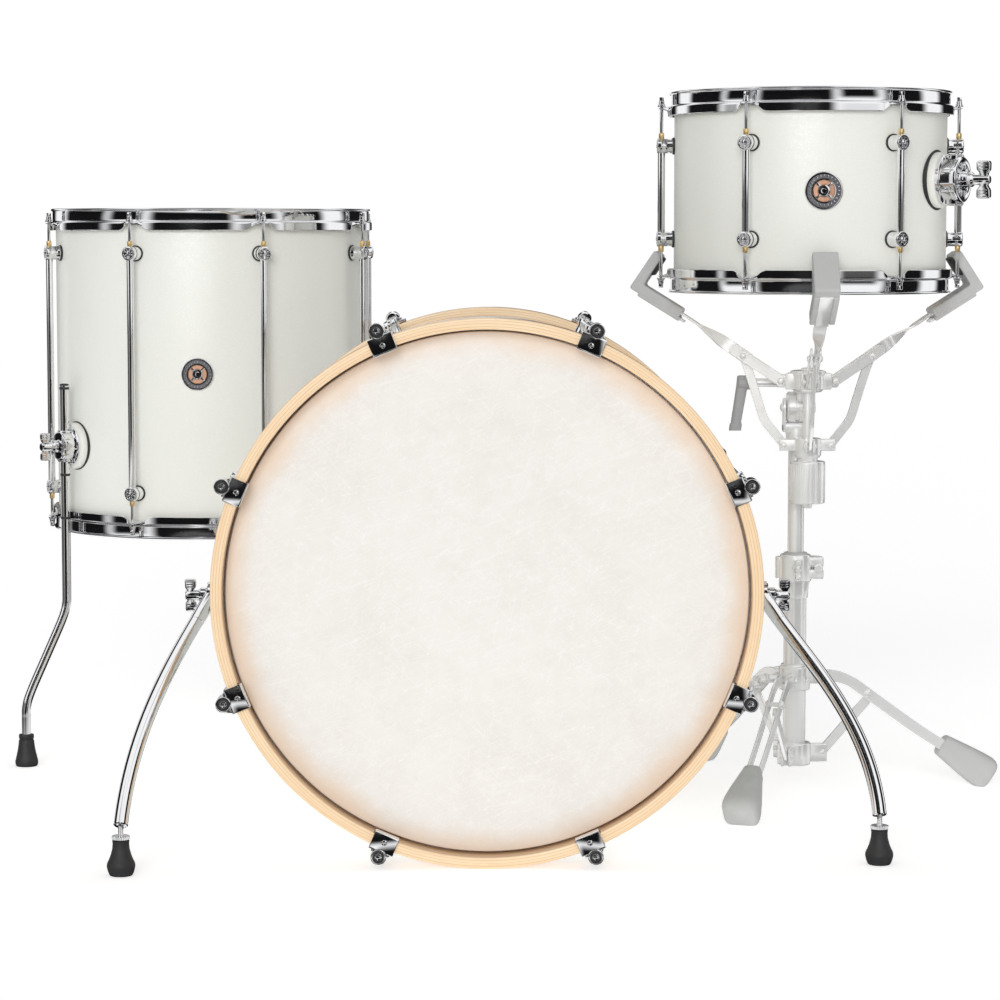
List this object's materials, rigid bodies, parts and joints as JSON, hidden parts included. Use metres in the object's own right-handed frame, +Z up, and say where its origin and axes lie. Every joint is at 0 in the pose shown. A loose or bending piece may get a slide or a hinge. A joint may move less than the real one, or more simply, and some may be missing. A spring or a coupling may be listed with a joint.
{
  "type": "acoustic drum kit",
  "caption": "Acoustic drum kit: bass drum on curved spurs, floor tom on bent legs, rack tom in a basket stand with folding tripod.",
  "frame": {"origin": "middle of the kit footprint on the floor", "axes": "+X to the right seen from the audience, +Y towards the player, +Z up"},
  "size_m": [1.234, 1.1406, 0.8472],
  "materials": {
    "chrome": "polished plating",
    "shell_finish": "pale satin sparkle lacquer over a wooden shell",
    "head_film": "fibre-flecked off-white film",
    "maple_hoop": "clear lacquered maple plies",
    "rubber": "matte moulded rubber",
    "stand_metal": "pale chrome plating"
  },
  "bodies": {
    "bass_drum": {"bass_shell": "shell_finish", "bass_front_head": "head_film", "bass_rear_head": "head_film", "bass_front_hoop": "maple_hoop", "bass_rear_hoop": "maple_hoop", "bass_tension_line_1": "chrome", "bass_tension_line_2": "chrome", "bass_tension_line_3": "chrome", "bass_tension_line_4": "chrome", "bass_tension_line_5": "chrome", "bass_tension_line_6": "chrome", "bass_tension_line_7": "chrome", "bass_tension_line_8": "chrome", "spur_left_bracket": "chrome", "spur_right_bracket": "chrome"},
    "spur_left": {"spur_left_leg": "chrome"},
    "spur_left_toe": {"spur_left_foot": "rubber"},
    "spur_left_clamp": {"spur_left_knob": "chrome"},
    "spur_right": {"spur_right_leg": "chrome"},
    "spur_right_toe": {"spur_right_foot": "rubber"},
    "spur_right_clamp": {"spur_right_knob": "chrome"},
    "floor_tom": {"floor_tom_shell": "shell_finish", "floor_tom_top_head": "head_film", "floor_tom_bottom_head": "head_film", "floor_tom_top_hoop": "chrome", "floor_tom_bottom_hoop": "chrome"},
    "floor_tom_rod_1": {"floor_tom_leg_1": "chrome", "floor_tom_leg_foot_1": "rubber"},
    "floor_tom_wing_1": {"floor_tom_leg_knob_1": "chrome"},
    "floor_tom_rod_2": {"floor_tom_leg_2": "chrome", "floor_tom_leg_foot_2": "rubber"},
    "floor_tom_wing_2": {"floor_tom_leg_knob_2": "chrome"},
    "floor_tom_rod_3": {"floor_tom_leg_3": "chrome", "floor_tom_leg_foot_3": "rubber"},
    "floor_tom_wing_3": {"floor_tom_leg_knob_3": "chrome"},
    "stand": {"stand_base_tube": "stand_metal"},
    "leg_collar": {"stand_leg_collar": "stand_metal"},
    "upper_tube": {"stand_upper_tube": "stand_metal"},
    "height_wing": {"stand_height_knob": "stand_metal"},
    "basket": {"stand_basket_hub": "stand_metal"},
    "basket_nut": {"stand_basket_collar": "stand_metal"},
    "stand_leg_1": {"stand_leg_1": "stand_metal"},
    "stand_brace_1": {"stand_brace_1": "stand_metal"},
    "stand_leg_2": {"stand_leg_2": "stand_metal"},
    "stand_brace_2": {"stand_brace_2": "stand_metal"},
    "stand_leg_3": {"stand_leg_3": "stand_metal"},
    "stand_brace_3": {"stand_brace_3": "stand_metal"},
    "basket_arm_1": {"stand_basket_arm_1": "stand_metal"},
    "basket_link_1": {"stand_basket_link_1": "stand_metal"},
    "basket_arm_2": {"stand_basket_arm_2": "stand_metal"},
    "basket_link_2": {"stand_basket_link_2": "stand_metal"},
    "basket_arm_3": {"stand_basket_arm_3": "stand_metal"},
    "basket_link_3": {"stand_basket_link_3": "stand_metal"},
    "rack_tom": {"rack_tom_shell": "shell_finish", "rack_tom_top_head": "head_film", "rack_tom_bottom_head": "head_film", "rack_tom_top_hoop": "chrome", "rack_tom_bottom_hoop": "chrome", "rack_tom_bracket": "shell_finish"},
    "rack_tom_wing": {"rack_tom_bracket_knob": "chrome"}
  },
  "joints": [
    {"name": "spur_left_fold", "type": "hinge", "parent": "bass_drum", "child": "spur_left", "pos_m": [-0.30879, -0.39515, 0.281], "axis": [1, 0, 0], "range_deg": [0, 110]},
    {"name": "spur_left_foot_screw", "type": "slide", "parent": "spur_left", "child": "spur_left_toe", "axis": [0, 0, 1], "range_m": [0, 0.005]},
    {"name": "spur_left_knob_turn", "type": "hinge", "parent": "spur_left", "child": "spur_left_clamp", "pos_m": [-0.30879, -0.39515, 0.281], "axis": [-1, 0, 0], "continuous": true},
    {"name": "spur_right_fold", "type": "hinge", "parent": "bass_drum", "child": "spur_right", "pos_m": [0.30121, -0.39515, 0.281], "axis": [1, 0, 0], "range_deg": [0, 110]},
    {"name": "spur_right_foot_screw", "type": "slide", "parent": "spur_right", "child": "spur_right_toe", "axis": [0, 0, 1], "range_m": [0, 0.005]},
    {"name": "spur_right_knob_turn", "type": "hinge", "parent": "spur_right", "child": "spur_right_clamp", "pos_m": [0.30121, -0.39515, 0.281], "axis": [1, 0, 0], "continuous": true},
    {"name": "floor_tom_lift", "type": "slide", "parent": "bass_drum", "child": "floor_tom", "axis": [0, 0, 1], "range_m": [0, 0.25]},
    {"name": "floor_tom_leg_1_slide", "type": "slide", "parent": "floor_tom", "child": "floor_tom_rod_1", "axis": [0, 0, 1], "range_m": [-0.05, 0.1]},
    {"name": "floor_tom_knob_1_turn", "type": "hinge", "parent": "floor_tom", "child": "floor_tom_wing_1", "pos_m": [-0.56312, 0.14445, 0.4083], "axis": [-0.829, -0.5592, 0], "continuous": true},
    {"name": "floor_tom_leg_2_slide", "type": "slide", "parent": "floor_tom", "child": "floor_tom_rod_2", "axis": [0, 0, 1], "range_m": [-0.05, 0.1]},
    {"name": "floor_tom_knob_2_turn", "type": "hinge", "parent": "floor_tom", "child": "floor_tom_wing_2", "pos_m": [-0.17646, 0.14445, 0.4083], "axis": [0.829, -0.5592, 0], "continuous": true},
    {"name": "floor_tom_leg_3_slide", "type": "slide", "parent": "floor_tom", "child": "floor_tom_rod_3", "axis": [0, 0, 1], "range_m": [-0.05, 0.1]},
    {"name": "floor_tom_knob_3_turn", "type": "hinge", "parent": "floor_tom", "child": "floor_tom_wing_3", "pos_m": [-0.36979, 0.50805, 0.4083], "axis": [0, 1, 0], "continuous": true},
    {"name": "stand_lift", "type": "slide", "parent": "bass_drum", "child": "stand", "axis": [0, 0, 1], "range_m": [0, 0.08]},
    {"name": "leg_collar_slide", "type": "slide", "parent": "stand", "child": "leg_collar", "axis": [0, 0, 1], "range_m": [0, 0.0511]},
    {"name": "stand_leg_1_fold", "type": "hinge", "parent": "leg_collar", "child": "stand_leg_1", "pos_m": [0.35979, -0.0819, 0.139], "axis": [0.9397, -0.342, 0], "range_deg": [0, 40]},
    {"name": "stand_brace_1_fold", "type": "hinge", "parent": "stand", "child": "stand_brace_1", "pos_m": [0.35774, -0.08754, 0.0475], "axis": [0.9397, -0.342, 0], "range_deg": [-26.9, 0]},
    {"name": "stand_leg_2_fold", "type": "hinge", "parent": "leg_collar", "child": "stand_leg_2", "pos_m": [0.39835, -0.05011, 0.139], "axis": [-0.1564, 0.9877, 0], "range_deg": [0, 40.1]},
    {"name": "stand_brace_2_fold", "type": "hinge", "parent": "stand", "child": "stand_brace_2", "pos_m": [0.40428, -0.04918, 0.0475], "axis": [-0.1564, 0.9877, 0], "range_deg": [-26.9, 0]},
    {"name": "stand_leg_3_fold", "type": "hinge", "parent": "leg_collar", "child": "stand_leg_3", "pos_m": [0.35746, -0.02837, 0.139], "axis": [-0.9063, -0.4226, 0], "range_deg": [0, 40.1]},
    {"name": "stand_brace_3_fold", "type": "hinge", "parent": "stand", "child": "stand_brace_3", "pos_m": [0.35492, -0.02293, 0.0475], "axis": [-0.9063, -0.4226, 0], "range_deg": [-26.9, 0]},
    {"name": "height_slide", "type": "slide", "parent": "stand", "child": "upper_tube", "axis": [0, 0, 1], "range_m": [-0.03, 0.12]},
    {"name": "height_wing_turn", "type": "hinge", "parent": "stand", "child": "height_wing", "pos_m": [0.36971, -0.07465, 0.27475], "axis": [0, -1, 0], "continuous": true},
    {"name": "basket_tilt", "type": "hinge", "parent": "upper_tube", "child": "basket", "pos_m": [0.36971, -0.05465, 0.47], "axis": [-1, 0, 0], "range_deg": [0, 35]},
    {"name": "basket_nut_slide", "type": "slide", "parent": "basket", "child": "basket_nut", "axis": [0, 0, -1], "range_m": [0, 0.0078]},
    {"name": "basket_arm_1_open", "type": "hinge", "parent": "basket", "child": "basket_arm_1", "pos_m": [0.38021, -0.11715, 0.5031], "axis": [1, 0, 0], "range_deg": [0, 12]},
    {"name": "basket_link_1_swing", "type": "hinge", "parent": "basket_nut", "child": "basket_link_1", "pos_m": [0.38021, -0.11315, 0.426], "axis": [1, 0, 0], "range_deg": [0, 2.87]},
    {"name": "basket_arm_2_open", "type": "hinge", "parent": "basket", "child": "basket_arm_2", "pos_m": [0.3487, -0.07959, 0.5031], "axis": [-0.1736, -0.9848, 0], "range_deg": [0, 12.1]},
    {"name": "basket_link_2_swing", "type": "hinge", "parent": "basket_nut", "child": "basket_link_2", "pos_m": [0.35264, -0.08029, 0.426], "axis": [-0.1736, -0.9848, 0], "range_deg": [0, 2.87]},
    {"name": "basket_arm_3_open", "type": "hinge", "parent": "basket", "child": "basket_arm_3", "pos_m": [0.41173, -0.07959, 0.5031], "axis": [-0.1736, 0.9848, 0], "range_deg": [0, 12.1]},
    {"name": "basket_link_3_swing", "type": "hinge", "parent": "basket_nut", "child": "basket_link_3", "pos_m": [0.40779, -0.08029, 0.426], "axis": [-0.1736, 0.9848, 0], "range_deg": [0, 2.87]},
    {"name": "rack_tom_lift", "type": "slide", "parent": "basket", "child": "rack_tom", "axis": [0, 0, 1], "range_m": [0, 0.2]},
    {"name": "rack_tom_knob_turn", "type": "hinge", "parent": "rack_tom", "child": "rack_tom_wing", "pos_m": [0.54597, -0.18085, 0.742], "axis": [0.866, -0.5, 0], "continuous": true}
  ],
  "couplings": [
    {"joint": "stand_brace_1_fold", "follows": "stand_leg_1_fold", "ratio": -0.67},
    {"joint": "stand_leg_2_fold", "follows": "stand_leg_1_fold", "ratio": 1},
    {"joint": "stand_brace_2_fold", "follows": "stand_leg_1_fold", "ratio": -0.67},
    {"joint": "stand_leg_3_fold", "follows": "stand_leg_1_fold", "ratio": 1},
    {"joint": "stand_brace_3_fold", "follows": "stand_leg_1_fold", "ratio": -0.67},
    {"joint": "leg_collar_slide", "follows": "stand_leg_1_fold", "m_per_rad": 0.072909},
    {"joint": "basket_link_1_swing", "follows": "basket_arm_1_open", "ratio": 0.235},
    {"joint": "basket_arm_2_open", "follows": "basket_arm_1_open", "ratio": 1},
    {"joint": "basket_link_2_swing", "follows": "basket_arm_1_open", "ratio": 0.235},
    {"joint": "basket_arm_3_open", "follows": "basket_arm_1_open", "ratio": 1},
    {"joint": "basket_link_3_swing", "follows": "basket_arm_1_open", "ratio": 0.235},
    {"joint": "basket_nut_slide", "follows": "basket_arm_1_open", "m_per_rad": 0.036287}
  ]
}
